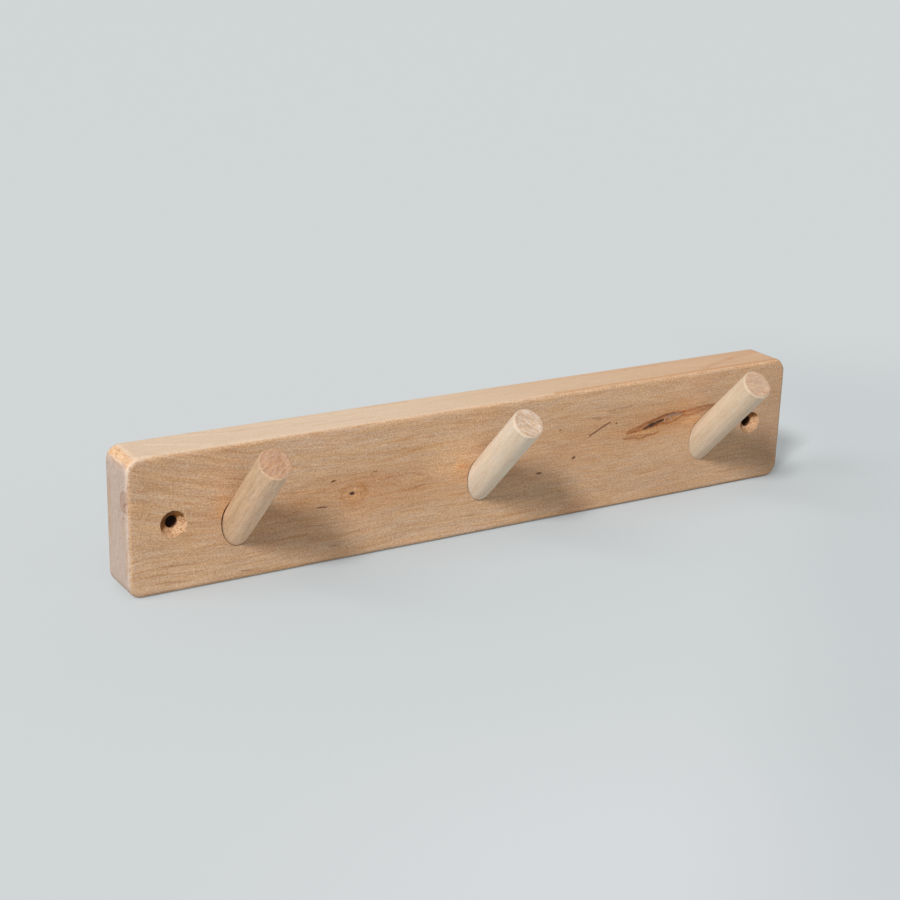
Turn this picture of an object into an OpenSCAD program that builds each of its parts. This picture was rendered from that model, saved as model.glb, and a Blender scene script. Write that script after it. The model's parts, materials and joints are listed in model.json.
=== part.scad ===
// Wall coat rack: a plank with rounded corners and three dowel pegs glued into slanted blind bores.
// Origin at the middle of the back face, which lies on the wall. +X runs along the board, the front
// faces -Y and +Z is up.

/* [Board] */
// Length of the board
board_l = 385; // [240:1:900]
// Height of the board
board_h = 68; // [58:1:140]
// Thickness of the board
board_t = 25.5; // [20:0.5:32]
// Radius of the board's four corners, seen from the front
corner_r = 7; // [4:0.5:14]
// Radius of the eased edge that runs round the front face and the back face
edge_r = 2.2; // [0.6:0.1:3.5]

/* [Pegs] */
// Diameter of the dowel
peg_d = 16; // [10:0.5:20]
// Length of a peg, with the end that is inside the board
peg_len = 75; // [50:1:120]
// Angle at which a peg rises from the horizontal
peg_tilt = 45; // [15:1:60]
// Chamfer round the free end of a peg
peg_chamfer = 0.6; // [0.2:0.1:2]
// Distance from the board's left end to the axis of the left peg
peg_left_inset = 55; // [46:0.5:90]
// Distance from the board's right end to the axis of the right peg
peg_right_inset = 56; // [46:0.5:90]
// Place of the middle peg, to the right of the board's middle
peg_middle_x = -4; // [-30:0.5:30]
// How far the pegs' feet lie below the middle of the board's height
peg_drop = 4.5; // [-8:0.5:8]
// How much further the right peg stands out, because its bore is that much shallower
peg_right_proud = 2.5; // [0:0.5:6]

/* [Peg bores] */
// Wood left between the deepest point of a bore and the back face
back_wall = 7; // [4:0.5:10]
// Gap for the glue between a peg and the wall of its bore
glue_gap = 0.1; // [0.05:0.01:0.3]

/* [Screw holes] */
// Diameter of the hole for the screw
screw_d = 6; // [3:0.5:8]
// Diameter of the countersink where it meets the front face
sink_d = 12.5; // [9:0.5:15]
// Full angle of the countersink
sink_angle = 90; // [75:1:120]
// Distance from each end of the board to its screw hole
screw_inset = 22.5; // [14:0.5:34]

/* [Hidden] */
$fn = 96;

board_wood = [0.70, 0.52, 0.38];
peg_wood = [0.84, 0.73, 0.57];

// Straight part of each side, between the rounded corners
straight_l = board_l - 2 * corner_r;
straight_h = board_h - 2 * corner_r;

peg_left_x = peg_left_inset - board_l / 2;
peg_right_x = board_l / 2 - peg_right_inset;

// The bore is a little wider than its peg, and as deep as the back wall allows
bore_r = peg_d / 2 + glue_gap;
bore_depth = (board_t - back_wall - bore_r * sin(peg_tilt)) / cos(peg_tilt);
bore_right_depth = bore_depth - peg_right_proud;

screw_x = board_l / 2 - screw_inset;
sink_depth = (sink_d - screw_d) / 2 / tan(sink_angle / 2);

// How far a cutter runs out past the face that it opens
cut = 1;

// Section of the board's rim, from the centre of a corner out to the side, with both edges eased.
// X is the distance outwards and Y the thickness, from the back face to the front face.
module rim_section() {
    square([corner_r - edge_r, board_t]);
    translate([0, edge_r])
        square([corner_r, board_t - 2 * edge_r]);
    for (y = [edge_r, board_t - edge_r])
        translate([corner_r - edge_r, y])
            circle(r = edge_r);
}

// Straight length of rim along Y, with its outer side towards +X
module straight_rim(length) {
    translate([0, length / 2, 0])
        rotate([90, 0, 0])
            linear_extrude(length)
                rim_section();
}

// The plank without its holes, lying on its back: X along it, Y up its face, Z through its thickness
module plank() {
    translate([-straight_l / 2, -straight_h / 2, 0])
        cube([straight_l, straight_h, board_t]);
    for (side = [0, 1]) {
        rotate([0, 0, 180 * side])
            translate([straight_l / 2, 0, 0])
                straight_rim(straight_h);
        rotate([0, 0, 90 + 180 * side])
            translate([straight_h / 2, 0, 0])
                straight_rim(straight_l);
    }
    for (corner = [[1, 1, 0], [-1, 1, 90], [-1, -1, 180], [1, -1, 270]])
        translate([corner[0] * straight_l / 2, corner[1] * straight_h / 2, 0])
            rotate([0, 0, corner[2]])
                rotate_extrude(angle = 90)
                    rim_section();
}

// Puts what is drawn along +Z on a peg's axis, with Z = 0 where the axis leaves the front face
module on_peg_axis(x) {
    translate([x, -board_t, -peg_drop])
        rotate([90 - peg_tilt, 0, 0])
            children();
}

// Cutter for a blind bore with a flat floor, long enough to clear the slanted mouth
module peg_bore(x, depth) {
    on_peg_axis(x)
        translate([0, 0, -depth])
            cylinder(r = bore_r, h = depth + bore_r * tan(peg_tilt) + cut);
}

// Cutter for a screw hole from the front face to the back, with its countersink
module screw_hole(x) {
    translate([x, -board_t, 0])
        rotate([-90, 0, 0]) {
            translate([0, 0, -cut])
                cylinder(d = screw_d, h = board_t + 2 * cut);
            translate([0, 0, -cut])
                cylinder(d1 = sink_d + 2 * cut * tan(sink_angle / 2), d2 = screw_d, h = cut + sink_depth);
        }
}

// A dowel that stands on the floor of its bore, with a chamfer round its free end
module peg(x, depth) {
    color(peg_wood)
        on_peg_axis(x)
            translate([0, 0, -depth])
                rotate_extrude()
                    polygon([
                        [0, 0],
                        [peg_d / 2, 0],
                        [peg_d / 2, peg_len - peg_chamfer],
                        [peg_d / 2 - peg_chamfer, peg_len],
                        [0, peg_len]
                    ]);
}

module board() {
    color(board_wood)
        difference() {
            rotate([90, 0, 0])
                plank();
            peg_bore(peg_left_x, bore_depth);
            peg_bore(peg_middle_x, bore_depth);
            peg_bore(peg_right_x, bore_right_depth);
            for (side = [-1, 1])
                screw_hole(side * screw_x);
        }
}

module peg_left() {
    peg(peg_left_x, bore_depth);
}

module peg_middle() {
    peg(peg_middle_x, bore_depth);
}

module peg_right() {
    peg(peg_right_x, bore_right_depth);
}

board();
peg_left();
peg_middle();
peg_right();
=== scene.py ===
"""Wall coat rack: a plank with rounded corners and three slanted dowel pegs, dressed round its CAD frame.

The CAD nodes set the sizes. The plank and the pegs are built again here as finer surfaces, with hand-sanded
edges, torn fibres and cracks, and get woods worked out from a growth-ring pattern in three dimensions.
Shapes are in millimetres until they are put into a mesh, and the colours are linear.
"""
import json
import math

import bmesh
import bpy
import numpy as np
from mathutils import Matrix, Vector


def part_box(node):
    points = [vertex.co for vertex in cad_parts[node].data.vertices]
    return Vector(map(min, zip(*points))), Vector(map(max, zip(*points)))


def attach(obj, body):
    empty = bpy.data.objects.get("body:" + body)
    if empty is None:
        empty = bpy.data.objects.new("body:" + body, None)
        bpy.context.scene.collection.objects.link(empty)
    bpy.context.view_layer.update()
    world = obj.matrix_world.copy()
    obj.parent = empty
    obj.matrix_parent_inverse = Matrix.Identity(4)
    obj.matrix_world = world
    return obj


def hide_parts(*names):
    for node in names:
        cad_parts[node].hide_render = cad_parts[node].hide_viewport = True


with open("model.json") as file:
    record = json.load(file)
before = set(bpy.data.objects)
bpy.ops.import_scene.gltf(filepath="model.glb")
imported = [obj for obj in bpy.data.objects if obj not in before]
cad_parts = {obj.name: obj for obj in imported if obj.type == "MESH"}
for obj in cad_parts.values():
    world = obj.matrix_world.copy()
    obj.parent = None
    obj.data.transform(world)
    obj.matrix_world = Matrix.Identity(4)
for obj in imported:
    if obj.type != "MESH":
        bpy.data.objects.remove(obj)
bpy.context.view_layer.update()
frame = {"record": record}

MM = 0.001

# The plank, measured on its CAD node
board_low, board_high = (np.array(corner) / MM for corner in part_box("board"))
HALF_LENGTH = (board_high[0] - board_low[0]) / 2
HALF_HEIGHT = board_high[2]
THICKNESS = -board_low[1]
CORNER_RADIUS = 7.0
EDGE_RADIUS = 2.2
RIM_WIDTH = 4.0

# The screw holes, from the record's bolt pattern
screw_mount = next(m for m in frame["record"]["mounts"] if m["name"] == "screw_holes")
SCREW_X = screw_mount["dims"]["spacing_x_mm"] / 2
SCREW_RADIUS = screw_mount["dims"]["hole_r_mm"]
SINK_RADIUS = 6.25
SINK_DEPTH = SINK_RADIUS - SCREW_RADIUS

# The pegs and their bores, and how far the hand drill strayed: degrees steeper, and distance to the right
PEG_TILT = 45
PEG_CHAMFER = 0.6
GLUE_GAP = 0.1
LIP_DEPTH = 1.6
PEG_STRAYS = {"peg_left": (0.8, -0.25), "peg_middle": (0.6, -0.2), "peg_right": (0.35, -0.3)}
PEGS = tuple(PEG_STRAYS)

# Width of the gap that wear leaves beside a peg's foot, and the side that it is on, in degrees from +X. The
# wider the gap, the paler the foot is rubbed
MOUTH_WEAR = {"peg_left": (0.6, 190), "peg_middle": (0.42, 205), "peg_right": (0.15, 200)}


class Peg:
    """A peg's place and size. They are read from its CAD node, whose box reaches one radius past the axis
    along X, and radius * sin(tilt) or radius * cos(tilt) past the axis's ends along Y and Z. The drill's
    stray then turns it about the point where the axis leaves the front face, and moves it."""

    across = np.array([1.0, 0, 0])

    def __init__(self, node):
        low, high = (np.array(corner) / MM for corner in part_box(node))
        steeper, aside = PEG_STRAYS[node]
        drawn = math.radians(PEG_TILT)
        self.tilt = math.radians(PEG_TILT + steeper)
        self.radius = (high[0] - low[0]) / 2
        foot_y = high[1] - self.radius * math.sin(drawn)
        foot_z = low[2] + self.radius * math.cos(drawn)
        reach = foot_y - self.radius * math.sin(drawn) - low[1]
        depth = (THICKNESS + foot_y) / math.cos(drawn)
        self.x = (low[0] + high[0]) / 2
        self.length = reach / math.cos(drawn) + PEG_CHAMFER
        self.mouth = np.array([self.x + aside, -THICKNESS, foot_z + depth * math.sin(drawn)])
        self.axis = np.array([0, -math.cos(self.tilt), math.sin(self.tilt)])
        self.up = np.array([0, math.sin(self.tilt), math.cos(self.tilt)])
        self.foot = self.mouth - self.axis * depth


def wander(points, spacing, seed):
    """Smooth random value from -1 to 1 at each point: random numbers stand on a lattice with the given
    spacing, and each point takes the eight round it, weighed by the product of its smoothed nearness."""
    table = np.random.default_rng(seed).uniform(-1, 1, (32, 32, 32))
    cell = np.asarray(points, float) / spacing
    low = np.floor(cell).astype(int)
    part = cell - low
    part = part * part * (3 - 2 * part)
    total = np.zeros(cell.shape[:-1])
    for corner in np.ndindex(2, 2, 2):
        index = (low + corner) % len(table)
        weight = np.prod(np.where(corner, part, 1 - part), axis=-1)
        total += weight * table[index[..., 0], index[..., 1], index[..., 2]]
    return total


def smooth_step(value, low, high):
    """0 below low, 1 above high, and 3t² - 2t³ between them."""
    t = np.clip((value - low) / (high - low), 0, 1)
    return t * t * (3 - 2 * t)


def put(name, data):
    """Puts a mesh, a camera or a lamp into the scene as a new object."""
    placed = bpy.data.objects.new(name, data)
    bpy.context.scene.collection.objects.link(placed)
    return placed


class Skin:
    """Grids of points that join along shared edges and become one closed mesh."""

    def __init__(self):
        self.points, self.faces, self.count = [], [], 0

    def add(self, grid):
        """Takes a grid of points, rows by columns by 3, and makes a face from every four neighbours."""
        rows, columns = grid.shape[:2]
        index = self.count + np.arange(rows * columns).reshape(rows, columns)
        corners = (index[:-1, :-1], index[1:, :-1], index[1:, 1:], index[:-1, 1:])
        self.faces.append(np.stack(corners, -1).reshape(-1, 4))
        self.points.append(grid.reshape(-1, 3))
        self.count += rows * columns

    def make(self, name, sharp_angle):
        """Puts the grids into a mesh, merges their shared points and turns every face outwards."""
        mesh = bpy.data.meshes.new(name)
        points = np.concatenate(self.points) * MM
        mesh.from_pydata(points.tolist(), [], np.concatenate(self.faces).tolist())
        work = bmesh.new()
        work.from_mesh(mesh)
        bmesh.ops.remove_doubles(work, verts=work.verts, dist=0.002 * MM)
        bmesh.ops.dissolve_degenerate(work, edges=work.edges, dist=0.001 * MM)
        bmesh.ops.recalc_face_normals(work, faces=work.faces)
        work.to_mesh(mesh)
        work.free()
        mesh.shade_smooth()
        mesh.set_sharp_from_angle(angle=math.radians(sharp_angle))
        return put(name, mesh)


# The plank's faces inside the rim, cut into strips: one round each hole and plain ones between
FLAT_X = HALF_LENGTH - RIM_WIDTH
FLAT_Z = HALF_HEIGHT - RIM_WIDTH
CORE_X = HALF_LENGTH - CORNER_RADIUS
CORE_Z = HALF_HEIGHT - CORNER_RADIUS
CORNER_STEPS = 22
STATION_STEP = 1.0
STRIP_HALF = 16.5


def stations(start, end, step):
    """Evenly spaced values from start to end, about a step apart."""
    return np.linspace(start, end, max(1, round(abs(end - start) / step)) + 1)


end_z = stations(CORE_Z, -CORE_Z, STATION_STEP)
side_z = np.concatenate([[FLAT_Z, (FLAT_Z + CORE_Z) / 2], end_z, [-(FLAT_Z + CORE_Z) / 2, -FLAT_Z]])


def strip_side(x, rounded):
    """Points down the right side of a strip. At the board's end they follow two quarter circles."""
    if not rounded:
        return np.column_stack([np.full(len(side_z), x), side_z])
    turn = np.linspace(math.pi / 2, 0, CORNER_STEPS + 1)
    radius = FLAT_X - CORE_X
    corner = np.column_stack([CORE_X + radius * np.cos(turn), CORE_Z + radius * np.sin(turn)])
    straight = np.column_stack([np.full(len(end_z), FLAT_X), end_z])
    return np.concatenate([corner, straight[1:-1], corner[::-1] * (1, -1)])


def strip_loop(xs, round_left=False, round_right=False):
    """Closed outline of a strip, clockwise: along the top, down the right side, back along the bottom and up
    the left side."""
    top = np.column_stack([xs, np.full(len(xs), FLAT_Z)])
    right = strip_side(xs[-1], round_right)
    left = (strip_side(-xs[0], round_left) * (-1, 1))[::-1]
    bottom = (top * (1, -1))[::-1]
    loop = np.concatenate([top[:-1], right[:-1], bottom[:-1], left[:-1]])
    return np.concatenate([loop, loop[:1]])


def on_face(loop, y):
    """Lays points with X and Z on the plane at depth y, which may be one number or one for each point."""
    y = np.broadcast_to(y, loop.shape[:-1])
    return np.stack([loop[..., 0], y, loop[..., 1]], -1)


def mouth(loop, centre, half_width, half_height):
    """Points of an ellipse that face the points of a loop: each is the loop's point drawn towards the centre
    until its distance, measured in the ellipse's half sizes, is 1."""
    away = loop - centre
    measure = np.hypot(away[:, 0] / half_width, away[:, 1] / half_height)
    return centre + away / measure[:, None], np.arctan2(away[:, 1] / half_height, away[:, 0] / half_width)


def collar(inner, outer, steps, y):
    """Flat surface between two loops: each row is a share of the way from the inner loop to the outer one.
    The shares are even ones raised to the power 1.6, so that the rows crowd round the hole."""
    share = np.linspace(0, 1, steps + 1)[:, None, None] ** 1.6
    return on_face(inner + (outer - inner) * share, y)


def rim_surface(loop):
    """The board's rim: a profile carried along the outline of the flat face. The profile runs outwards over
    the front face, round the front edge, across the side, round the back edge and back in. The radius of the
    two edges wanders along the outline, as hand sanding leaves it, and never falls below the CAD's."""
    core = np.clip(loop, (-CORE_X, -CORE_Z), (CORE_X, CORE_Z))
    outward = (loop - core) / np.linalg.norm(loop - core, axis=1)[:, None]
    turn = np.linspace(0, math.pi / 2, 9)
    front_seat, back_seat = on_face(loop, 0.0), on_face(loop, 40.0)
    corner_wear = 0.5 * smooth_step(np.abs(outward[:, 0] * outward[:, 1]), 0.1, 0.5)
    front = EDGE_RADIUS + 0.15 * (1 + wander(front_seat, 14, 11)) + 0.1 * (1 + wander(front_seat, 4, 12))
    front = (front + corner_wear)[:, None]
    back = (EDGE_RADIUS + 0.05 * (1 + wander(back_seat, 18, 13)))[:, None]
    share = np.linspace(0, 1, 4)[None, :]
    flat_front = (RIM_WIDTH - front) * share
    flat_back = (RIM_WIDTH - back) * share[:, ::-1]
    across = np.linspace(0, 1, 19)[None, 1:-1]
    side = (-THICKNESS + front) * (1 - across) - back * across
    offset = np.concatenate([
        flat_front[:, :-1],
        RIM_WIDTH - front + front * np.sin(turn),
        np.full_like(side, RIM_WIDTH),
        RIM_WIDTH - back + back * np.cos(turn),
        flat_back[:, 1:],
    ], axis=1)
    depth = np.concatenate([
        np.full_like(flat_front[:, :-1], -THICKNESS),
        -THICKNESS + front * (1 - np.cos(turn)),
        side,
        -back + back * np.sin(turn),
        np.zeros_like(flat_back[:, 1:]),
    ], axis=1)
    surface = on_face(loop[:, None, :] + outward[:, None, :] * offset[..., None], depth)
    return surface - dents(surface, outward)[..., None] * on_face(outward, 0.0)[:, None, :]


def dents(surface, outward):
    """How far each point of the rim is sunk: the sides are a little uneven, and at the top left corner the
    end grain has torn out behind the front edge, in rough pits above a ridge."""
    around = np.degrees(np.arctan2(outward[:, 1], -outward[:, 0]))[:, None]
    y = surface[..., 1]
    side = smooth_step(y, -THICKNESS + 2, -THICKNESS + 5) * smooth_step(-y, 2, 5)
    uneven = 0.04 * (1 + wander(surface, 23, 14)) * side
    torn = smooth_step(around, 24, 30) * smooth_step(-around, -82, -66) * smooth_step(y, -21, -18)
    torn = torn * smooth_step(-y, 2, 4)
    pits = 0.22 + 0.2 * wander(surface * (1, 0.6, 1), 0.9, 15) + 0.12 * wander(surface, 2.2, 16)
    return uneven + np.maximum(pits, 0) * torn


def build_board():
    """The plank: rim, strips of both faces, and the walls of the holes."""
    skin = Skin()
    peg_x = [Peg(node).x for node in PEGS]
    cuts = [-CORE_X]
    for x in peg_x:
        cuts += [x - STRIP_HALF, x + STRIP_HALF]
    cuts += [CORE_X]
    runs = [stations(a, b, STATION_STEP * (2 if b - a > 60 else 1.2)) for a, b in zip(cuts, cuts[1:])]
    whole = np.concatenate([run[:-1] for run in runs] + [[CORE_X]])
    rim = strip_loop(whole, True, True)
    skin.add(rim_surface(rim))
    for place, run in enumerate(runs):
        ends = (place == 0, place == len(runs) - 1)
        if any(ends):
            add_screw_hole(skin, strip_loop(run, *ends), -SCREW_X if ends[0] else SCREW_X)
            continue
        plain = np.stack(np.meshgrid(run, side_z, indexing="ij"), -1)
        skin.add(on_face(plain, 0.0))
        if place % 2:
            add_peg_bore(skin, strip_loop(run), PEGS[place // 2])
        else:
            skin.add(on_face(plain, -THICKNESS))
    return skin.make("board_piece", 32)


def add_screw_hole(skin, loop, x):
    """Countersink and through hole. The cone's points lie on circles that shrink evenly with depth from the
    mouth to the hole, and the drill has chipped the mouth and torn fibres from the cone."""
    rim, turn = mouth(loop, (x, 0), SINK_RADIUS, SINK_RADIUS)
    hole, _ = mouth(loop, (x, 0), SCREW_RADIUS, SCREW_RADIUS)
    ray = np.stack([np.cos(turn), np.sin(turn)], -1)
    lower_right = smooth_step(np.cos(turn + math.radians(40)), 0.1, 0.9)
    left = smooth_step(-np.cos(turn), 0.1, 0.9)
    chips = np.maximum(wander(on_face(rim, 0.0), 1.3, 21), 0) * (0.25 + 0.5 * lower_right) + 0.35 * left
    chips = chips + 0.12 * (1 + wander(on_face(rim, 9.0), 4, 22))
    rim = rim + ray * chips[:, None]
    skin.add(collar(rim, loop, 14, -THICKNESS))
    skin.add(collar(hole, loop, 12, 0.0))
    share = np.linspace(0, 1, 15)[:, None, None]
    cone = rim + (hole - rim) * share
    depth = np.broadcast_to(SINK_DEPTH * share[..., 0], cone.shape[:2])
    points = on_face(cone, -THICKNESS + depth)
    fade = np.sin(math.pi * share[..., 0])
    tear = np.maximum(0.1 + wander(points * (0.5, 1, 1), 0.55, 23), 0) * (0.12 + 0.4 * lower_right) * fade
    skin.add(points + on_face(ray, 0.6) * tear[..., None])
    bore = np.linspace(-THICKNESS + SINK_DEPTH, 0, 12)[:, None]
    skin.add(on_face(np.broadcast_to(hole, (12, *hole.shape)), np.broadcast_to(bore, (12, len(hole)))))


def add_peg_bore(skin, loop, node):
    """Slanted blind bore. Its mouth is the ellipse that the face cuts from the bore's cylinder, a little worn
    on the left where the drill came in. Below a short lip, its wall follows the axis to a flat floor."""
    peg = Peg(node)
    wide = peg.radius + GLUE_GAP
    centre = peg.mouth[[0, 2]]
    edge, turn = mouth(loop, centre, wide, wide / math.cos(peg.tilt))
    left = smooth_step(np.cos(turn - math.radians(MOUTH_WEAR[node][1])), -0.2, 0.9)
    wear = MOUTH_WEAR[node][0] * left + 0.06 * (1 + wander(on_face(edge, 0.0), 3, 31))
    ray = edge - centre
    ray = ray / np.linalg.norm(ray, axis=1)[:, None]
    worn = edge + ray * wear[:, None]
    skin.add(collar(worn, loop, 14, -THICKNESS))
    across = np.stack([np.cos(turn) * wide, np.sin(turn) * wide], -1)
    floor = peg.foot + across[:, :1] * peg.across + across[:, 1:] * peg.up
    lip = on_face(edge, -THICKNESS + LIP_DEPTH)
    lip = lip - np.array([0, 0, LIP_DEPTH * math.tan(peg.tilt)])
    steps = np.linspace(0, 1, 9)[:, None, None]
    outer = on_face(worn, -THICKNESS)
    skin.add(np.stack([outer, lip]))
    skin.add(lip + (floor - lip) * steps)
    rings = np.linspace(1, 0, 5)[:, None, None]
    skin.add(peg.foot + (floor - peg.foot) * rings)


def build_peg(node, seed, facets, shorter, cracks):
    """A dowel: a circle carried up the slanted axis, closed by a flat floor and a flat tip with a worn
    chamfer. Planing has left it a little flatter in places, and cracks run along it. Both only take wood
    away. A crack is (angle, start, end, depth)."""
    peg = Peg(node)
    length, radius = peg.length - shorter, peg.radius
    turn = np.linspace(0, 2 * math.pi, 217)
    turn[-1] = 0
    circle = np.stack([np.cos(turn), np.sin(turn), np.zeros_like(turn)], -1)
    worn = PEG_CHAMFER * (1 + 0.35 * (1 + wander(circle, 0.7, seed)))
    along = np.concatenate([[0], np.linspace(0, 1, 60)])[:, None] * (length - worn)
    out = np.full_like(along, radius)
    seat = np.stack(np.broadcast_arrays(circle[:, 0] * 9, circle[:, 1] * 9, along * 0.05), -1)
    out = out - facets * (1 + wander(seat, 4.5, seed + 1)) / 2
    for angle, start, end, depth in cracks:
        beside = np.angle(np.exp(1j * (turn - math.radians(angle)))) * radius
        beside = beside + 0.35 * wander(np.stack([along * 0.12, along * 0, along * 0], -1), 1, seed + 2)
        run = smooth_step(along, start, start + 5) * smooth_step(-along, -end, -end + 5)
        out = out - depth * run * np.exp(-((beside / 0.33) ** 2))
    out[0] = 0
    chamfer = np.linspace(0, 1, 5)[1:, None]
    along = np.concatenate([along, length - worn * (1 - chamfer)])
    out = np.concatenate([out, out[-1:] - worn * chamfer])
    tip = np.linspace(1, 0, 12)[1:, None]
    along = np.concatenate([along, np.broadcast_to(length, (11, len(turn)))])
    out = np.concatenate([out, out[-1:] * tip])
    skin = Skin()
    ring = np.cos(turn)[:, None] * peg.across + np.sin(turn)[:, None] * peg.up
    skin.add(peg.foot + along[..., None] * peg.axis + out[..., None] * ring)
    return skin.make(node + "_piece", 32)


class Wire:
    """An output of a node. Arithmetic on it adds the Math node that works it out."""

    def __init__(self, finish, socket):
        self.finish, self.socket = finish, socket

    def math(self, operation, *values):
        return self.finish.node("ShaderNodeMath", {"operation": operation}, dict(enumerate(values)))

    def __add__(self, other):
        return self.math("ADD", self, other)

    def __radd__(self, other):
        return self.math("ADD", other, self)

    def __sub__(self, other):
        return self.math("SUBTRACT", self, other)

    def __rsub__(self, other):
        return self.math("SUBTRACT", other, self)

    def __mul__(self, other):
        return self.math("MULTIPLY", self, other)

    def __rmul__(self, other):
        return self.math("MULTIPLY", other, self)

    def __abs__(self):
        return self.math("ABSOLUTE", self)

    def bell(self):
        """e to the power of minus its square."""
        return self.math("EXPONENT", self * self * -1)

    def at_least(self, other):
        return self.math("MAXIMUM", self, other)

    def at_most(self, other):
        return self.math("MINIMUM", self, other)


# How far an oval reaches through the board along Y
THROUGH = 1000


class Finish:
    """A material whose nodes are added one after another."""

    def __init__(self, name):
        self.material = bpy.data.materials.new(name)
        self.material.use_nodes = True
        self.tree = self.material.node_tree
        self.tree.nodes.clear()

    def node(self, kind, settings=None, values=None, out=0):
        """Adds a node, makes its settings, gives its sockets their values or links. Returns an output."""
        made = self.tree.nodes.new(kind)
        for name, value in (settings or {}).items():
            setattr(made, name, value)
        for name, value in (values or {}).items():
            socket = made.inputs[name]
            if isinstance(value, Wire):
                self.tree.links.new(value.socket, socket)
            else:
                socket.default_value = (*value, 1) if socket.type == "RGBA" else value
        return Wire(self, made.outputs[out]) if made.outputs else None

    def vectors(self, operation, *values, out=0):
        """Vector Math on vectors."""
        return self.node("ShaderNodeVectorMath", {"operation": operation}, dict(enumerate(values)), out)

    def scaled(self, vector, factor):
        return self.node("ShaderNodeVectorMath", {"operation": "SCALE"}, {0: vector, "Scale": factor})

    def place(self):
        """Object coordinates in millimetres."""
        return self.scaled(self.node("ShaderNodeTexCoord", out="Object"), 1 / MM)

    def parts(self, vector):
        """The three numbers of a vector."""
        split = self.node("ShaderNodeSeparateXYZ", None, {0: vector})
        return [Wire(self, socket) for socket in split.socket.node.outputs]

    def vector(self, x, y, z):
        return self.node("ShaderNodeCombineXYZ", None, {0: x, 1: y, 2: z})

    def length(self, x, y):
        """Length of the vector made of two numbers."""
        return self.vectors("LENGTH", self.vector(x, y, 0), out="Value")

    def grain(self, vector, lengths, seed, detail=2, rough=0.5, out=0):
        """Noise from 0 to 1 whose lumps have the given lengths along X, Y and Z. The seed moves it."""
        scale = tuple(1 / length for length in lengths)
        shift = (seed * 7.31, seed * 3.17, seed * 5.53)
        seat = self.vectors("MULTIPLY_ADD", vector, scale, shift)
        values = {"Vector": seat, "Scale": 1, "Detail": detail, "Roughness": rough}
        return self.node("ShaderNodeTexNoise", None, values, out)

    def stir(self, vector, length, reach, seed):
        """Moves each point by up to about the given reach along X, Y and Z, in lumps of the given length."""
        lumps = self.grain(vector, (length, length, length), seed, 2, 0.6, "Color")
        either_way = self.vectors("SUBTRACT", lumps, (0.5, 0.5, 0.5))
        return self.vectors("MULTIPLY_ADD", either_way, tuple(3 * part for part in reach), vector)

    def rise(self, value, low, high):
        """0 up to low and 1 from high on, with a smooth step between them. Low may be the larger."""
        values = {"Value": value, "From Min": low, "From Max": high}
        return self.node("ShaderNodeMapRange", {"interpolation_type": "SMOOTHSTEP"}, values)

    def blend(self, share, first, second):
        """Colour that goes from the first to the second as share goes from 0 to 1."""
        return self.node("ShaderNodeMix", {"data_type": "RGBA"}, {0: share, 6: first, 7: second}, out=2)

    def tint(self, share, colour, factors):
        """Multiplies a colour by three factors, as far as share says."""
        settings = {"data_type": "RGBA", "blend_type": "MULTIPLY"}
        return self.node("ShaderNodeMix", settings, {0: share, 6: colour, 7: factors}, out=2)

    def oval(self, flat, centre, halves, turn=0):
        """Distance from the centre of an oval in the XZ plane, measured so that it is 1 on the oval."""
        seat = (centre[0], 0, centre[1])
        reach = (halves[0], THROUGH, halves[1])
        values = {0: flat, 1: seat, 2: (0, -math.radians(turn), 0), 3: reach}
        measured = self.node("ShaderNodeMapping", {"vector_type": "TEXTURE"}, values)
        return self.vectors("LENGTH", measured, out="Value")

    def spot(self, flat, centre, halves, turn=0, soft=0.9):
        """1 inside an oval and 0 outside it, with a soft rim whose width is a share of its size."""
        return self.rise(self.oval(flat, centre, halves, turn), 1, 1 - soft)

    def line(self, flat, points, width, soft=0.7):
        """1 along a bent line through points of the XZ plane. A place's distance to each straight part is its
        distance to the nearest point of that part, and the least of them counts."""
        nearest = None
        for (x, z), (next_x, next_z) in zip(points, points[1:]):
            run = (next_x - x, 0, next_z - z)
            per_length = tuple(part / (run[0] ** 2 + run[2] ** 2) for part in run)
            away = self.vectors("SUBTRACT", flat, (x, 0, z))
            share = self.vectors("DOT_PRODUCT", away, per_length, out="Value")
            share = self.node("ShaderNodeClamp", None, {0: share})
            gap = self.vectors("DISTANCE", away, self.scaled(run, share), out="Value")
            nearest = gap if nearest is None else nearest.at_most(gap)
        return self.rise(nearest, width / 2 * (1 + soft), width / 2 * (1 - soft))

    def tints(self, colour, *layers):
        """Tints a colour by the share and factors of each layer."""
        for share, factors in layers:
            colour = self.tint(share, colour, factors)
        return colour

    def tones(self, flat, share, rows, colour):
        """Tints a colour in ovals. A row is a centre, half sizes, amount and factors, and the oval's turn and
        softness where they aren't 0 and 0.9."""
        for centre, halves, amount, factors, *shape in rows:
            colour = self.tint(self.spot(flat, centre, halves, *shape) * (share * amount), colour, factors)
        return colour

    def lines(self, flat, share, rows, colour, soft=0.9):
        """Tints a colour along bent lines. A row is the points, width, amount and factors."""
        for points, width, amount, factors in rows:
            colour = self.tint(self.line(flat, points, width, soft) * (share * amount), colour, factors)
        return colour

    def surface(self, colour, rough, relief, height):
        """Ends the material in a shader with a bump of the given height in millimetres."""
        bump = self.node("ShaderNodeBump", None, {"Strength": 1, "Distance": height * MM, "Height": relief})
        values = {"Base Color": colour, "Roughness": rough, "Normal": bump, "Specular IOR Level": 0.35}
        shader = self.node("ShaderNodeBsdfPrincipled", None, values)
        self.node("ShaderNodeOutputMaterial", None, {"Surface": shader})
        return self.material


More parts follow.
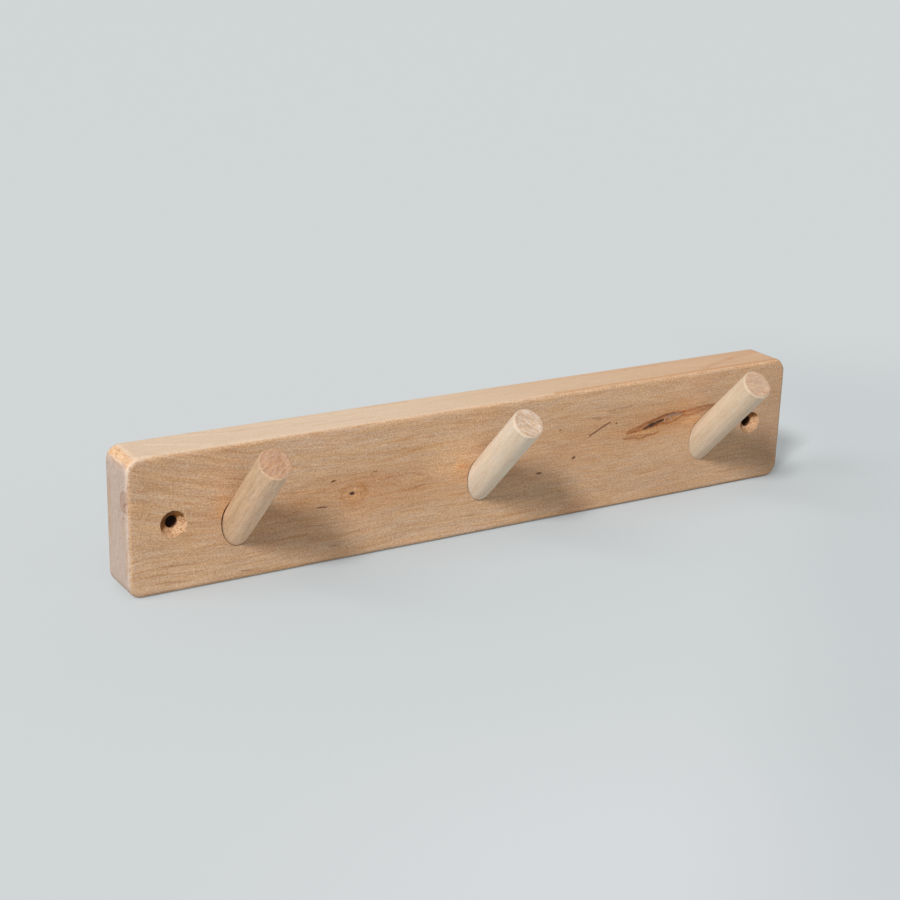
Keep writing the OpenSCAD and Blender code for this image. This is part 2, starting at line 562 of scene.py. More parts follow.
# Colours of the plank
BOARD_DARK = (0.33, 0.178, 0.087)
BOARD_PALE = (0.648, 0.438, 0.274)
WARMER = (1.05, 0.985, 0.87)
COOLER = (0.96, 1.015, 1.12)
TOP_LEFT = (0.569, 0.44, 0.322)
TOP_RIGHT = (0.485, 0.316, 0.197)
END_GRAIN = (0.416, 0.326, 0.27)
WORN_RIM = (0.64, 0.51, 0.4)
TORN_WOOD = (0.57, 0.37, 0.21)
DRILLED_PALE = (0.54, 0.33, 0.185)
# Painted shade for the countersinks' upper left walls
SINK_SHADE = (0.25, 0.09, 0.016)

# The tree's heart lies behind the board, and the grain runs round the knots: centre, half length and half
# height on the front face, turn in degrees, and how far the grain is pushed
HEART_Y = 62
HEART_Z = 3
GRAIN_EYES = (
    ((106, 9), (30, 7.5), 7, 5.5),
    ((-78.2, -0.4), (11, 5), 0, 3.5),
    ((-50, 3), (26, 7), 0, 4),
)

# Broad tones of the front face, some of them painted shade and light in the pegs' shadows and beside their
# feet: centre, half sizes, amount and factors, and turn and softness of some
FRONT_TONES_LIGHT_AND_SHADE = (
    ((0, 7), (210, 19), 1, (0.96, 0.92, 0.88), 0, 0.8),
    ((-70, -4), (150, 18), 1, (0.95, 0.87, 0.79), 0, 0.8),
    # Painted shade where the middle peg's shadow falls
    ((48, -8), (28, 22), 0.4, (0.96, 0.92, 0.89)),
    ((66, 8), (44, 24), 1, (0.98, 0.94, 0.89)),
    ((-180, 24), (20, 13), 0.9, (0.92, 0.87, 0.82)),
    ((-146, 19), (18, 12), 0.8, (1.1, 1.09, 1.1)),
    ((-2, 25), (20, 10), 0.8, (1.09, 1.11, 1.16)),
    ((-90, 29), (44, 10), 0.8, (1.03, 1.06, 1.14)),
    ((128, 28), (22, 9), 0.8, (1.05, 1.06, 1.14)),
    # Painted shade in the core of the left peg's shadow
    ((-122, -18), (12, 9), 0.8, (0.93, 0.86, 0.82)),
    ((-162, -34), (16, 10), 1, (1.12, 1.16, 1.22)),
    ((-28, -35), (66, 12), 1, (1.13, 1.15, 1.22)),
    ((94, -35), (38, 12), 1, (1.12, 1.13, 1.15)),
    # The next two rows are painted light in the left peg's shadow and painted shade at the end of the middle
    # peg's shadow
    ((-83, -17), (28, 10), 0.8, (1.14, 1.12, 1.14)),
    ((54, -30), (13, 6), 0.9, (0.87, 0.79, 0.74)),
    ((-20, 8), (26, 20), 0.9, (1.18, 1.24, 1.27)),
    ((-20, -26), (30, 12), 0.7, (1.03, 1.06, 1.1)),
    # The next two rows are painted warm bounce light beside the feet of the middle and left pegs
    ((-17, 5), (6, 8), 0.6, (1.1, 1, 0.8)),
    ((-146, 5), (6, 10), 0.5, (1.12, 1, 0.8)),
    ((104, 13), (36, 14), 0.9, (0.92, 0.84, 0.74)),
    ((96, -24), (62, 26), 1, (0.93, 0.91, 0.9)),
    # Partly darker wood and partly painted shade from the right peg's shadow at the board's right end
    ((185, 0), (26, 50), 1, (0.82, 0.8, 0.8)),
)

# Tones round the knot and the pin knot, in the same way, and two of the knot's lines
KNOT_TONES = (
    ((110, 8.5), (42, 12), 0.9, (1, 0.87, 0.71), 8),
    ((127, 7.6), (9, 2.2), 0.8, (1.2, 1.22, 1.2), 12, 0.8),
    ((106, 9.3), (18.5, 3.2), 0.75, (0.76, 0.6, 0.46), 11, 0.6),
    ((102.5, 8.2), (7.5, 1.9), 0.8, (0.5, 0.36, 0.27), 12),
    ((-72, 1.5), (4.5, 5), 0.6, (0.97, 0.84, 0.66), -20),
    ((-76.6, -1.9), (1.9, 0.9), 0.8, (1.12, 1.16, 1.18), 0, 0.8),
)
KNOT_LINES = (
    (((94, 5.1), (99, 5.4), (105, 6)), 1.5, 0.6, (1.2, 1.22, 1.08)),
    (((100, 9.9), (105, 11.4), (109.5, 12.8), (114, 13.3), (118, 12.9)), 1, 0.8, (0.62, 0.6, 0.58)),
)

# The knot's dark core, and the darker wood that runs round it: points, width and amount of each strand
KNOT_CORE = ((97.2, 7), (98.9, 7.9), (101.1, 8.6), (103.9, 9.1), (106.2, 9.8), (109.3, 10.2))
KNOT_STRANDS = (
    (((85.6, 5.9), (89.3, 7.8), (93.1, 8.3), (97, 9.6), (100.4, 10.6), (104.9, 11.4)), 1.3, 0.85),
    (((104.9, 11.4), (111.2, 12.7), (115.2, 13.2), (119.3, 13.1), (123.4, 13), (122.4, 10.9)), 1.2, 1),
    (((90.4, 7.1), (94.3, 8.2), (98.7, 9.6)), 0.8, 0.8),
    (((87.5, 5.9), (92.5, 6.3), (95.5, 6.9), (98.9, 7.3), (104, 8), (108, 8.9)), 0.9, 0.8),
    (((108, 8.9), (111.5, 7.9), (114.4, 8.1), (117.9, 9.1), (121.8, 10.9)), 1.1, 0.8),
    (((83.3, 3.2), (87.3, 2.9), (90.7, 2.8), (94.2, 1.8), (97, 2.5)), 1, 0.85),
    (((97, 2.5), (99.8, 3.1), (103.3, 3), (106.7, 3.9)), 1, 0.85),
    (((85, 4.1), (91, 4.1), (96, 3.5)), 0.8, 0.4),
    (((123, 12.8), (128.6, 13.4), (134, 13.9), (139, 14.2), (144, 13.6)), 1.6, 0.8),
    (((121.8, 10.5), (126, 10.5), (130.5, 11.2), (135, 12), (142, 12.6)), 1.5, 0.6),
    (((134, 13), (138, 13.4), (143, 13.2)), 2.6, 0.45),
    (((86.3, 5.6), (89.5, 6.6), (93, 6.8)), 0.9, 0.9),
)

# Small marks: centre, half sizes, turn and amount
FLECKS = (
    ((-88.1, 7.4), (2.1, 0.9), 8, 1),
    ((-65.4, 8.7), (2.4, 0.5), -5, 0.7),
    ((-94.3, -4.9), (4.2, 0.6), -3, 0.9),
    ((-108, -4.9), (3.2, 0.4), -2, 0.5),
    ((51.9, -2.3), (1.7, 1), 20, 1),
    ((30.7, -7.4), (2.8, 0.95), 0, 1),
    ((78.3, 12.7), (0.9, 0.85), 0, 1),
    ((42.9, 14.2), (1, 0.7), 0, 0.8),
    ((81.5, 19.5), (0.9, 0.6), 0, 0.4),
    ((-134, -29.8), (5, 0.6), -8, 0.5),
    ((-87.9, -25.7), (2.4, 0.35), 0, 0.4),
)
CRACK = ((61.6, 8.3), (64.6, 9.6), (67.6, 11.1), (70.9, 12.6), (74, 13.8))

# Thin lines on the front face: points, width, amount and factors
FRONT_LINES = (
    (((58, 6), (61.6, 8.3)), 0.8, 0.6, (0.78, 0.62, 0.5)),
    (((64, 10.4), (72.2, 14.3)), 0.8, 0.7, (1.14, 1.16, 1.18)),
    (((62.8, 17.6), (67.6, 17.3)), 0.9, 0.9, (0.6, 0.6, 0.62)),
    (((65.5, 16), (68, 16.1)), 0.8, 0.8, (0.62, 0.6, 0.6)),
    (((71, 17.2), (74, 17.2)), 0.8, 0.6, (0.75, 0.76, 0.78)),
    (((72, 19.9), (77, 20.6), (82, 20.6), (88, 20.9)), 0.9, 0.9, (0.66, 0.62, 0.6)),
    (((73.8, 19), (80.5, 18.7)), 0.8, 0.7, (0.72, 0.7, 0.7)),
    (((32, 16.2), (46, 17.4)), 0.7, 0.6, (1.15, 1.18, 1.2)),
    (((-18, 3.9), (-13.5, 3.2), (-10.6, 1.8)), 1, 0.8, (0.9, 0.7, 0.52)),
    (((-70, 17.9), (-44, 17.2), (-18, 17.5)), 0.8, 0.6, (0.86, 0.7, 0.54)),
    (((-60, 22.4), (-34, 22)), 0.8, 0.4, (0.88, 0.74, 0.6)),
    (((-101, -20.6), (-84, -21), (-66, -20.3)), 0.9, 0.6, (0.82, 0.68, 0.56)),
    (((-90.4, -25.9), (-85.6, -26.1)), 0.8, 0.7, (0.74, 0.55, 0.42)),
    (((-110, -2.3), (-98, 2.2), (-89, 5), (-80, 6.7), (-70, 6.7), (-55.6, 5)), 1.1, 0.5, (0.9, 0.74, 0.58)),
    (((-61, 4.1), (-52, 5.2), (-46.5, 5), (-40, 3.4), (-34.7, 1.4)), 1.1, 0.6, (0.9, 0.76, 0.62)),
    (((-66.5, -4.1), (-55, -2.9), (-44.7, -3.2), (-37.5, -4.6)), 1.1, 0.5, (0.9, 0.76, 0.62)),
    (((-60, -6.4), (-48, -7.4), (-36, -9)), 0.9, 0.5, (0.88, 0.74, 0.6)),
    (((-44.2, -3.4), (-38, -2.2)), 0.7, 0.7, (0.8, 0.62, 0.48)),
)

# Lines on the long edges, in the same way, with points (x, y)
EDGE_LINES = (
    (((-176, -9), (-150, -22)), 2.2, 0.8, (1.1, 1.14, 1.2)),
    (((-160, -4), (-136, -9)), 2.4, 0.6, (1.08, 1.12, 1.16)),
    (((-144, -7.3), (-112, -8.8)), 1, 0.6, (0.88, 0.8, 0.74)),
    (((-104, -12.3), (-86, -12.8)), 0.9, 0.7, (0.84, 0.78, 0.76)),
    (((-96, -17.4), (-62, -18)), 1, 0.6, (0.87, 0.8, 0.76)),
    (((-88, -22.5), (-60, -22.8)), 0.9, 0.45, (0.87, 0.8, 0.76)),
    (((-62, -3.3), (-36, -3.6)), 1.6, 0.6, (0.95, 0.8, 0.62)),
    (((16, -3.6), (120, -4.6)), 1.7, 0.6, (0.96, 0.82, 0.66)),
    (((138, -21), (164, -12)), 2.6, 0.7, (0.9, 0.78, 0.7)),
    (((164, -12), (188, -6)), 4.5, 0.6, (0.92, 0.82, 0.76)),
    (((40, -24.1), (190, -24.1)), 2.2, 1, (0.86, 0.7, 0.54)),
)

# Lines on the left end, with points (y, z)
END_LINES = (
    (((-24.2, 12.6), (-22.6, 11.6)), 1.2, 1, (0.7, 0.58, 0.54)),
    (((-21.9, 5.4), (-20.6, 5)), 0.8, 1, (0.7, 0.58, 0.54)),
    (((-19.6, 4), (-19.3, -4)), 0.9, 0.8, (1.02, 0.9, 0.74)),
    (((-22.4, 5.5), (-22, -5)), 1.4, 0.8, (1.02, 0.9, 0.74)),
    (((-24, -9), (-23.6, -22)), 1, 0.8, (1.02, 0.9, 0.74)),
)

# The floor's paint, its broad tones in x and y, painted shade round the board and painted light far in
# front on the left, and the even pale tone that the camera sees through it
FLOOR_PAINT = (0.472, 0.501, 0.515)
FLOOR_LIGHT_AND_SHADE = (
    ((-20, -60), (330, 190), 1, (0.935, 0.955, 0.965)),
    ((-130, -330), (190, 150), 1, (1.08, 1.06, 1.07)),
)
BACKDROP = (0.63, 0.655, 0.66)
BACKDROP_SHARE = 0.27

# Each peg: seed, how far planing has flattened it, how much shorter it is worn, cracks, pale and dark wood,
# the factors of painted light that lift its shaded lower side, pale and dark end grain, and the turn of the
# streaks on its tip
PEG_LOOKS = {
    "peg_left": (5, 0.03, 0, (), (0.54, 0.369, 0.223), (0.324, 0.2, 0.114), (1.55, 1.57, 1.67),
                 (0.49, 0.305, 0.194), (0.29, 0.15, 0.08), 40),
    "peg_middle": (6, 0.02, 0, (), (0.624, 0.52, 0.402), (0.492, 0.376, 0.264), (1.26, 1.25, 1.25),
                   (0.595, 0.468, 0.361), (0.336, 0.208, 0.125), -46),
    "peg_right": (7, 0.03, 0.35, ((-100, 52, 68, 0.25), (-113, 38, 53, 0.15)), (0.607, 0.473, 0.342),
                  (0.453, 0.339, 0.218), (1.2, 1.18, 1.2), (0.523, 0.363, 0.251), (0.336, 0.208, 0.132), -21),
}

# The camera, from the fit of the board's outline in the photograph
PICTURE = 900
FOCAL_PIXELS = 1777.9
CAMERA_AZIMUTH = math.radians(-31.658)
CAMERA_ELEVATION = math.radians(18.657)
CAMERA_ROLL = math.radians(1.647)
CAMERA_DISTANCE = 915.05
ORIGIN_PIXEL = (462.5, 453.8)


def board_finish():
    """The plank's wood. Its grain runs along X, in rings round a heart that lies behind the board."""
    wood = Finish("board_wood")
    place = wood.place()
    x, y, z = wood.parts(place)

    # The grain's height: it sways slowly, falls away at the left end and parts round the knots
    sway = (wood.grain(place, (70, 60, 45), 1, 1) - 0.5) * 9
    fall = (x + 132).at_most(0) * wood.rise(z, -26, 34) * 0.3
    run = z + sway + fall
    for centre, halves, turn, lift in GRAIN_EYES:
        far = wood.oval(place, centre, halves, turn)
        up = z - centre[1] - (x - centre[0]) * math.tan(math.radians(turn))
        run = run - lift / halves[1] * up * far.bell()

    # Growth rings: the distance from the heart. Near the top face they drift forwards at the left end
    drift = (wood.grain(place, (95, 80, 80), 2, 1) - 0.5) * 8
    forwards = (x + 135).at_most(0) * wood.rise(z, 28, 33) * -0.45
    ring = wood.length(y - HEART_Y, run - HEART_Z) + drift + 0.012 * x + forwards
    layers = wood.grain(wood.vector(x * 0.01, ring, 0), (1, 0.8, 1), 3, 2, 0.55)
    broad = wood.grain(wood.vector(x * 0.006, ring, 0), (1, 3.4, 1), 4, 0)

    # Fibres along the grain, livelier towards the left and calmest on the right, specks, and patches of
    # warmer and cooler wood
    bent = wood.vector(x, y, run)
    fibres = wood.grain(bent, (34, 2, 1.9), 5, 3, 0.72)
    threads = wood.grain(bent, (9, 0.6, 0.55), 12, 1)
    lines = wood.rise(wood.grain(bent, (30, 1.2, 0.9), 13, 0), 0.66, 0.8)
    pores = wood.rise(wood.grain(bent, (3.4, 0.5, 0.4), 6, 1), 0.64, 0.8)
    fuzz = wood.rise(wood.grain(bent, (1.1, 0.6, 0.55), 14, 1), 0.58, 0.72)
    specks = wood.grain(bent, (0.95, 0.6, 0.6), 8, 1)
    hue = wood.grain(bent, (26, 2.6, 2.2), 9, 3, 0.7)
    glints = wood.grain(bent, (1.5, 0.8, 0.7), 15, 1)
    cloud = wood.grain(place, (26, 14, 9), 7, 2)

    lively = 0.56 - x * 0.0014 - (x - 60).at_least(0) * 0.0015
    tone = 0.5 + (layers - 0.5) * 0.2 + (broad - 0.5) * 0.16 + (fibres - 0.5) * lively
    tone = tone + (threads - 0.5) * 0.6 + (specks - 0.5) * 1.35 + (cloud - 0.5) * 0.12
    colour = wood.blend(tone, BOARD_DARK, BOARD_PALE)
    hue = hue * 0.6 + tone * 0.2 + glints * 0.3 - 0.05
    colour = wood.tint(1, colour, wood.blend(wood.rise(hue, 0.32, 0.68), WARMER, COOLER))
    colour = wood.tints(
        colour,
        (pores * 0.4, (0.75, 0.62, 0.5)),
        (lines * 0.75, (0.86, 0.72, 0.56)),
        (fuzz * 0.5, (1.1, 1.15, 1.22)),
    )

    front = wood.rise(y, -THICKNESS + 1.2, -THICKNESS + 0.3)
    colour = wood.tones(place, front, FRONT_TONES_LIGHT_AND_SHADE, colour)
    colour = front_marks(wood, place, front, colour)
    colour = long_edges(wood, place, tone, layers, colour)
    colour = board_ends(wood, place, layers, specks, colour)
    colour = worn_rim(wood, place, specks, colour)
    colour = hole_walls(wood, place, specks, colour)

    rough = 0.62 + (fibres - 0.5) * 0.16
    relief = fibres * 0.5 + threads * 0.3 + specks * 0.5
    return wood.surface(colour, rough, relief, 0.05)


def front_marks(wood, place, front, colour):
    """Knot, pin knot, flecks, crack and faint lines of the front face, at their places in the photograph."""
    stirred = wood.stir(place, 2.6, (0.5, 0, 0.3), 20)
    flat = wood.vectors("MULTIPLY", stirred, (1, 0, 1))
    straight = wood.vectors("MULTIPLY", place, (1, 0, 1))
    broken = wood.rise(wood.grain(place, (3.5, 1, 0.8), 21, 2, 0.6), 0.36, 0.56)
    colour = wood.tones(flat, front, KNOT_TONES, colour)
    colour = wood.lines(flat, front, KNOT_LINES, colour)

    # The knot: brown strands, a mauve swirl with a ring beside it, and the dark core
    strands = 0
    for points, width, amount in KNOT_STRANDS:
        strands = (wood.line(flat, points, width, 0.9) * amount).at_least(strands)
    colour = wood.tint(strands * (0.7 + broken * 0.3) * front, colour, (0.6, 0.34, 0.18))
    mauve = wood.line(flat, ((112.5, 12), (116, 12.3), (121.5, 12.1)), 1.2, 0.9)
    colour = wood.blend(mauve * front * (0.5 + broken * 0.35), colour, (0.19, 0.135, 0.11))
    ring = wood.line(flat, ((110.3, 9), (109.9, 10.4), (111.6, 11.3), (114, 10.9), (114.6, 9.5)), 0.7)
    colour = wood.blend(ring * front * (0.2 + broken * 0.5), colour, (0.42, 0.31, 0.26))
    core = wood.line(flat, KNOT_CORE, 1, 0.7).at_least(wood.spot(flat, (101.6, 8.6), (3.2, 1.3), 14, 0.6))
    core = core.at_least(wood.spot(flat, (107.2, 9.9), (2.4, 1.05), 8, 0.6))
    core = core.at_least(wood.spot(flat, (111.6, 10.1), (0.8, 0.6), 0, 0.8) * 0.8)
    colour = wood.blend(core * front, colour, (0.04, 0.018, 0.009))

    # The pin knot: a dark pith in two rings
    dot = wood.oval(flat, (-77.2, -0.4), (6.4, 4.8))
    pith = wood.spot(flat, (-78.1, -0.4), (1.9, 1.1), 0, 0.5)
    colour = wood.tints(
        colour,
        (wood.rise(dot, 2.2, 0.3) * front * 0.6, (0.98, 0.86, 0.7)),
        (wood.rise(abs(dot - 1.05), 0.25, 0.05) * front * broken * 0.6, (0.9, 0.76, 0.6)),
        (wood.rise(abs(dot - 0.45), 0.22, 0.05) * front * 0.7, (1.12, 1.14, 1.13)),
    )
    colour = wood.blend(pith * front, colour, (0.055, 0.02, 0.012))

    # Flecks, the thin lines, and the crack with its deepest place
    for centre, halves, turn, amount in FLECKS:
        fleck = wood.spot(flat, centre, halves, turn, 0.7)
        colour = wood.blend(fleck * front * amount, colour, (0.12, 0.045, 0.016))
    colour = wood.lines(flat, front * (0.5 + broken * 0.5), FRONT_LINES, colour)
    colour = wood.blend(wood.line(straight, CRACK, 1, 0.6) * front * 0.9, colour, (0.17, 0.06, 0.024))
    deepest = wood.spot(straight, (64.7, 9.7), (0.8, 0.6), 0, 0.6)
    return wood.blend(deepest * front * 0.7, colour, (0.08, 0.035, 0.02))


def long_edges(wood, place, tone, layers, colour):
    """The long edges are paler than the front, with lines of their own."""
    x, _, z = wood.parts(place)
    across_x, across_y, _ = wood.parts(wood.stir(place, 6, (2, 0.5, 0), 30))
    edge = wood.rise(abs(z), HALF_HEIGHT - 1.2, HALF_HEIGHT - 0.15)
    pale = wood.tints(
        wood.blend(wood.rise(x, -100, 190), TOP_LEFT, TOP_RIGHT),
        (wood.rise(tone, 0.6, 0.3) * 0.6, (0.88, 0.84, 0.8)),
        (wood.rise(layers, 0.55, 0.35) * 0.35, (0.88, 0.83, 0.78)),
    )
    pale = wood.lines(wood.vector(across_x, 0, across_y), 1, EDGE_LINES, pale)
    return wood.blend(edge * 0.92, colour, pale)


def board_ends(wood, place, layers, specks, colour):
    """End grain, greyer than the front, with upright bands and one darker patch at the left end."""
    x, y, z = wood.parts(place)
    side = wood.stir(wood.vector(y, 0, z), 5, (0.5, 0, 0.9), 31)
    side = wood.vectors("MULTIPLY", side, (1, 0, 1))
    ragged = abs(x) + (specks - 0.5) * 1.6
    end = wood.rise(ragged, HALF_LENGTH - 1.5, HALF_LENGTH - 0.4)
    left = wood.rise(x, 0, -1)
    fine = wood.grain(wood.vector(x * 0.2, y, z), (1, 0.8, 4.5), 32, 3, 0.7)
    rough = wood.grain(wood.vector(x * 0.2, y + z * 0.5, z), (1, 1.3, 0.7), 36, 2, 0.6)
    narrow = wood.line(side, ((-2, 34), (-2, -34)), 2, 0.9) * 0.6
    band = wood.line(side, ((-3.6, 18), (-3.2, -8)), 4, 0.9).at_least(narrow)
    patch = wood.oval(side, (-23.4, 13.2), (5.6, 5.4))
    butt = wood.tints(
        END_GRAIN,
        (wood.rise(layers, 0.58, 0.4) * 0.4, (0.9, 0.86, 0.84)),
        (wood.rise(fine, 0.58, 0.38), (0.88, 0.83, 0.8)),
        (wood.rise(rough, 0.5, 0.35) * 0.8, (0.88, 0.84, 0.8)),
        (wood.rise(rough, 0.55, 0.7) * 0.8, (1.08, 1.1, 1.12)),
        (band * left * 0.8, (0.95, 0.86, 0.74)),
        (wood.rise(patch, 1.1, 0.8) * left * 0.85, (0.84, 0.72, 0.65)),
        (wood.rise(abs(patch - 0.92), 0.16, 0.04) * left * 0.6, (0.84, 0.74, 0.68)),
    )
    butt = wood.lines(side, left, END_LINES, butt, 0.7)
    colour = wood.blend(end, colour, butt)

    # The torn top left corner: orange wood with dark pits, and a whitish ridge below it
    depth = wood.rise(y, -20.5, -17) * wood.rise(y, -1.5, -4)
    above = wood.rise(z, 30.3, 30.9) * wood.rise(x, -187.6, -189.2) * depth
    torn = wood.grain(place, (1.6, 1.3, 0.7), 33, 2, 0.7)
    colour = wood.tints(
        wood.blend(above * 0.8, colour, TORN_WOOD),
        (above * wood.rise(torn, 0.52, 0.66), (0.6, 0.4, 0.3)),
        (above * wood.rise(torn, 0.42, 0.3), (1.25, 1.4, 1.7)),
    )
    for pit in ((-8.4, 32.9), (-9.6, 31.8)):
        colour = wood.blend(wood.spot(side, pit, (0.9, 0.5), 0, 0.7) * above, colour, (0.3, 0.11, 0.04))
    ridge = wood.line(side, ((-5.5, 30.5), (-19.5, 30.3)), 0.6, 0.7) * wood.rise(x, -190.4, -191.2)
    colour = wood.blend(ridge * 0.45, colour, (0.6, 0.48, 0.38))
    shade = wood.line(side, ((-9, 29.5), (-21, 29.1)), 1, 0.9) * wood.rise(x, -191.2, -191.8)
    return wood.tint(shade * 0.6, colour, (0.95, 0.76, 0.58))


def worn_rim(wood, place, specks, colour):
    """Pale, fuzzy fibres where hand sanding has rubbed the front edge, widest at the top left corner, and
    painted shade along the lower edge, where the rack stands on the floor."""
    x, y, z = wood.parts(place)
    out = wood.length((abs(x) - CORE_X).at_least(0), (abs(z) - CORE_Z).at_least(0))
    patches = wood.grain(place, (9, 9, 5), 34, 2)
    ragged = out + (specks - 0.5) * 2.2 + (patches - 0.5) * 2.5
    face = wood.rise(y, -THICKNESS + 1.6, -THICKNESS + 0.7)
    corner = wood.spot(place, (-188, 29), (13, 13), 0, 0.8)
    top = wood.rise(z, HALF_HEIGHT - 6, HALF_HEIGHT - 2) * (wood.rise(x, 40, 110) * 5 + 1)
    ends = wood.rise(abs(x), HALF_LENGTH - 7, HALF_LENGTH - 2)
    amount = (0.05 * top).at_least(0.3 * ends).at_least(0.6 * corner)
    rubbed = wood.rise(ragged + corner, 5.7, 6.9) * face
    colour = wood.blend(rubbed * amount, colour, WORN_RIM)
    # Painted shade: the lower front edge is darkened where the board meets the floor
    contact_shade = wood.rise(z, -HALF_HEIGHT + 1.2, -HALF_HEIGHT + 0.4) * wood.rise(x, -130, -40)
    return wood.tint(contact_shade, colour, (0.6, 0.62, 0.62))


def hole_walls(wood, place, specks, colour):
    """The screw holes: brown painted shade on the upper left walls, which face away from the light,
    pale torn fibres on the lower right, and painted shade, nearly black, deep inside."""
    x, y, z = wood.parts(place)
    across = (abs(x) - SCREW_X) * (wood.rise(x, 1, -1) * -2 + 1)
    away = wood.length(across, z)
    depth = y + THICKNESS
    inside = wood.rise(away, SINK_RADIUS + 0.5, SINK_RADIUS - 0.1) * wood.rise(depth, 0.12, 0.5)
    inside = inside * wood.rise(depth, THICKNESS - 0.5, THICKNESS - 1.5)
    shaded = wood.rise(z * 0.88 - across * 0.47 + (specks - 0.5) * 2.5, -0.8, 0.7)
    torn = wood.grain(place, (0.9, 1.1, 0.6), 35, 2, 0.6)
    pale = wood.tint(wood.rise(torn, 0.55, 0.36), DRILLED_PALE, (0.66, 0.5, 0.38))
    scored = wood.grain(wood.vector(x * 0.4, depth, z * 0.4), (1, 0.5, 1), 37, 1)
    # Painted shade on the walls that face away from the light, scored like drilled wood
    shaded_wall = wood.tint(wood.rise(scored, 0.55, 0.4), SINK_SHADE, (0.4, 0.36, 0.3))
    wall = wood.blend(shaded, pale, shaded_wall)
    # Painted shade, nearly black, deep inside the hole
    wall = wood.blend(wood.rise(depth, 2.8, 4.5), wall, (0.09, 0.035, 0.014))
    return wood.blend(inside, colour, wall)


def build_floor():
    """Plain floor: one large square at the height of the plank's lower edge."""
    half = 40
    corners = [(-half, -half), (half, -half), (half, half), (-half, half)]
    mesh = bpy.data.meshes.new("floor")
    mesh.from_pydata([(x, y, -HALF_HEIGHT * MM) for x, y in corners], [], [(0, 1, 2, 3)])
    floor = put("floor", mesh)
    return floor


def floor_finish():
    """Pale grey paint that keeps the object's shadow, with a share of even backdrop for the camera. Its tones
    are painted shade round the board and painted light far in front, and beyond a line on the right it is a
    little darker, painted shade, as far back as some 40 cm."""
    paint = Finish("floor_paint")
    x, y, _ = paint.parts(paint.place())
    colour = paint.tones(paint.vector(x, 0, y), 1, FLOOR_LIGHT_AND_SHADE, FLOOR_PAINT)
    # Painted shade: darker beyond a line to the right of the board
    far = x * 0.688 + y * 0.725
    right = paint.rise(x * 0.725 - y * 0.688 + (far - 100).at_least(0) * 0.25, 130, 215)
    colour = paint.tint(right * paint.rise(far, 460, 270), colour, (0.89, 0.905, 0.91))
    values = {"Base Color": colour, "Roughness": 0.9, "Specular IOR Level": 0.1}
    matt = paint.node("ShaderNodeBsdfPrincipled", None, values)
    even = paint.node("ShaderNodeEmission", None, {"Color": BACKDROP, "Strength": 1})
    seen = paint.node("ShaderNodeLightPath", out="Is Camera Ray")
    seen = seen.at_least(paint.node("ShaderNodeLightPath", out="Is Glossy Ray"))
    shader = paint.node("ShaderNodeMixShader", None, {0: seen * BACKDROP_SHARE, 1: matt, 2: even})
    paint.node("ShaderNodeOutputMaterial", None, {"Surface": shader})
    return paint.material


def peg_finish(node, seed, shorter, pale, dark, below, tip_pale, tip_dark, streak_turn):
    """A peg's wood, with its grain along the peg and end grain on its tip. Its shaded lower side is lightened
    by factors, painted light, and the wood is rubbed pale where the mouth is worn. The streaks on the tip run
    at a turn from +X."""
    peg = Peg(node)
    length = peg.length - shorter
    wood = Finish(node + "_wood")
    settings = {"vector_type": "TEXTURE"}
    values = {0: wood.place(), 1: tuple(peg.foot), 2: (math.pi / 2 - peg.tilt, 0, 0), 3: (1, 1, 1)}
    place = wood.node("ShaderNodeMapping", settings, values)
    u, v, along = wood.parts(place)
    fibres = wood.grain(place, (1.3, 1.3, 22), seed, 3, 0.7)
    threads = wood.grain(place, (0.55, 0.55, 5), seed + 4, 1)
    cloud = wood.grain(place, (5, 5, 24), seed + 1, 2)
    specks = wood.grain(place, (0.7, 0.7, 0.9), seed + 2, 1)
    hue = wood.grain(place, (1.2, 1.2, 9), seed + 5, 3, 0.7)
    mottle = wood.grain(place, (1.5, 1.5, 1.5), seed + 6, 2, 0.6)
    tone = 0.5 + (fibres - 0.5) * 1.3 + (threads - 0.5) * 0.5 + (cloud - 0.5) * 0.5 + (specks - 0.5) * 0.9
    colour = wood.blend(tone, dark, pale)
    hue = wood.rise(hue * 0.7 + tone * 0.3, 0.3, 0.7) * 0.5 + 0.35
    colour = wood.tint(1, colour, wood.blend(hue, WARMER, COOLER))
    # Painted light: the shaded lower side is lightened by the peg's factors
    colour = wood.tint(wood.rise(v - u * 0.3, 1, -6.5), colour, below)
    foot = wood.rise(along, 38, 24) * wood.rise(v - u * 0.5, 0, 7) * (mottle + 0.5)
    colour = wood.tint(foot * (1.7 * MOUTH_WEAR[node][0]), colour, (1.18, 1.2, 1.23))

    turn = math.radians(streak_turn)
    over = v * math.cos(turn) - u * math.sin(turn) + (cloud - 0.5) * 2
    lengthwise = u * math.cos(turn) + v * math.sin(turn)
    streaks = wood.grain(wood.vector(over, lengthwise, 0), (0.75, 5, 1), seed + 3, 2, 0.6)
    end = 0.5 + (streaks - 0.5) * 1.9 + (specks - 0.5) * 0.9 + (mottle - 0.5) * 0.8
    shift = wood.blend(wood.rise(hue, 0.4, 0.75), WARMER, COOLER)
    tip = wood.tint(1, wood.blend(end, tip_dark, tip_pale), shift)
    cut = wood.rise(along, length - 0.12, length - 0.02)
    colour = wood.blend(cut, colour, tip)
    # The chamfer: darker on its lit left side, painted shade that dims its highlight, and paler and warmer on
    # the right
    chamfer = wood.rise(along, length - 1.2, length - 0.6) * (1 - cut)
    right = wood.rise(u + v * 0.3, 0, 6)
    colour = wood.tint(chamfer, colour, wood.blend(right, (0.82, 0.81, 0.8), (1.18, 1.05, 0.94)))
    rough = 0.58 + (fibres - 0.5) * 0.2
    return wood.surface(colour, rough, fibres * 0.6 + specks * 0.4, 0.04)


def finish_piece(piece, node, material):
    """Gives a piece its material and ties it to the frame."""
    piece.data.materials.append(material)
    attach(piece, "root")
    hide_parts(node)


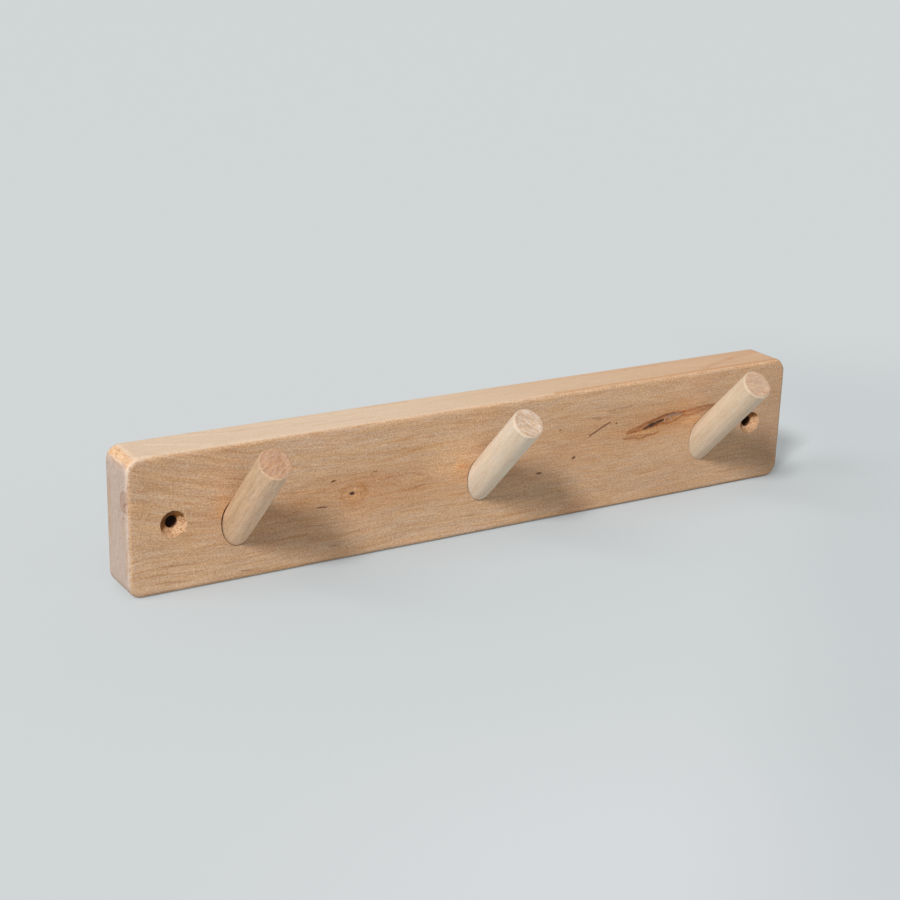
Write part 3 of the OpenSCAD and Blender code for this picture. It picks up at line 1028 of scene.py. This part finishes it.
def level_axes(direction):
    """Two directions square to the given one: the first is level, the second points up."""
    level = np.cross((0, 0, 1), direction)
    level /= np.linalg.norm(level)
    return level, np.cross(direction, level)


def stand(name, data, right, up, back, place=(0, 0, 0)):
    """Puts a camera or a lamp into the scene at a place, with its axes along the given directions."""
    axes = np.identity(4)
    axes[:3] = np.column_stack([right, up, back, place])
    placed = put(name, data)
    placed.matrix_world = Matrix(axes.tolist())
    return placed


def add_camera():
    """Camera at the photograph's angle: it looks along the given direction, and slides across it until the
    frame's origin falls on its pixel."""
    back = np.array([
        math.sin(CAMERA_AZIMUTH) * math.cos(CAMERA_ELEVATION),
        -math.cos(CAMERA_AZIMUTH) * math.cos(CAMERA_ELEVATION),
        math.sin(CAMERA_ELEVATION),
    ])
    level, upright = level_axes(back)
    right = math.cos(CAMERA_ROLL) * level + math.sin(CAMERA_ROLL) * upright
    up = np.cross(back, right)
    aside = (ORIGIN_PIXEL[0] - PICTURE / 2) / FOCAL_PIXELS
    above = (PICTURE / 2 - ORIGIN_PIXEL[1]) / FOCAL_PIXELS
    eye = (back - right * aside - up * above) * CAMERA_DISTANCE * MM
    data = bpy.data.cameras.new("camera")
    data.sensor_width = 36
    data.lens = FOCAL_PIXELS / PICTURE * data.sensor_width
    data.clip_start, data.clip_end = 0.01, 200
    bpy.context.scene.camera = stand("camera", data, right, up, back, eye)


def add_lamp(name, towards, strength, spread):
    """Distant soft lamp that stands in the given direction. The spread is its width in degrees."""
    data = bpy.data.lights.new(name, "SUN")
    data.energy = strength
    data.angle = math.radians(spread)
    direction = np.array(towards) / np.linalg.norm(towards)
    stand(name, data, *level_axes(direction), direction)


def add_world(colour, strength):
    """Even light from all round."""
    world = bpy.data.worlds.new("studio")
    world.use_nodes = True
    backdrop = world.node_tree.nodes["Background"]
    backdrop.inputs["Color"].default_value = (*colour, 1)
    backdrop.inputs["Strength"].default_value = strength
    bpy.context.scene.world = world


finish_piece(build_board(), "board", board_finish())
for node, (seed, facets, shorter, cracks, *colours) in PEG_LOOKS.items():
    piece = build_peg(node, 40 + seed, facets, shorter, cracks)
    material = peg_finish(node, 10 * seed, shorter, *colours)
    finish_piece(piece, node, material)
floor = build_floor()
floor.data.materials.append(floor_finish())
add_camera()
add_lamp("key", (-1.33, -1, 1.48), 3.3, 11)
add_lamp("side", (-1, 0.3, 0.95), 0.9, 30)
add_world((1, 0.97, 0.935), 0.47)
bpy.context.scene.view_settings.view_transform = "Standard"
